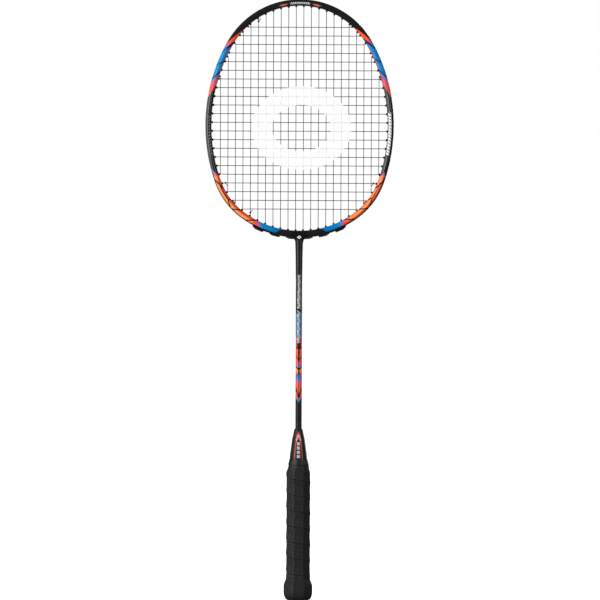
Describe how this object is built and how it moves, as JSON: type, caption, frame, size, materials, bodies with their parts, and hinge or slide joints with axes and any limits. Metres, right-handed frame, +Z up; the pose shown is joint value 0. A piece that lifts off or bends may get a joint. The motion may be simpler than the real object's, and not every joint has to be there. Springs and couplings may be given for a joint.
{
  "type": "badminton racket",
  "caption": "Full-size badminton racket: strung oval carbon head, slim shaft, tapered cone and a wrapped octagonal handle with a flared butt.",
  "frame": {"origin": "centre of the butt's flat end face", "axes": "+Z up the shaft from the butt to the crown of the head; the string bed lies in the XZ plane; -Y is the front face; +X is to the right seen from the front"},
  "size_m": [0.2116, 0.0282, 0.675],
  "materials": {
    "frame_lacquer": "glossy black lacquer on carbon with orange and blue panels",
    "joint_composite": "raw carbon-filled moulding",
    "cone_plastic": "satin black moulded plastic",
    "core_wood": "bare pale wood",
    "grip_leather": "matte black perforated synthetic leather tape",
    "finishing_vinyl": "soft black vinyl tape",
    "butt_plastic": "matte black moulded plastic",
    "disc_plastic": "glossy black disc with a plain ring",
    "string_nylon": "dark grey multifilament nylon",
    "grommet_nylon": "black moulded nylon",
    "start_grommet_nylon": "dark red moulded nylon"
  },
  "bodies": {
    "root": {"head_frame": "frame_lacquer", "throat_fairing": "frame_lacquer", "shaft": "frame_lacquer", "tee_joint": "joint_composite", "cone": "cone_plastic", "handle_core": "core_wood", "grip_wrap": "grip_leather", "finishing_tape": "finishing_vinyl", "butt_cap": "butt_plastic", "butt_disc": "disc_plastic", "main_string": "string_nylon", "cross_string": "string_nylon", "start_grommets": "start_grommet_nylon", "knot_upper": "string_nylon", "knot_lower": "string_nylon", "knot_left": "string_nylon", "knot_right": "string_nylon", "crown_grommets_right": "grommet_nylon", "crown_grommets_left": "grommet_nylon", "shoulder_grommets_right": "grommet_nylon", "shoulder_grommets_left": "grommet_nylon", "upper_flank_grommets_right": "grommet_nylon", "upper_flank_grommets_left": "grommet_nylon", "lower_flank_grommets_right": "grommet_nylon", "lower_flank_grommets_left": "grommet_nylon", "quarter_grommets_right": "grommet_nylon", "quarter_grommets_left": "grommet_nylon", "throat_grommets_right": "grommet_nylon", "throat_grommets_left": "grommet_nylon"}
  },
  "joints": []
}
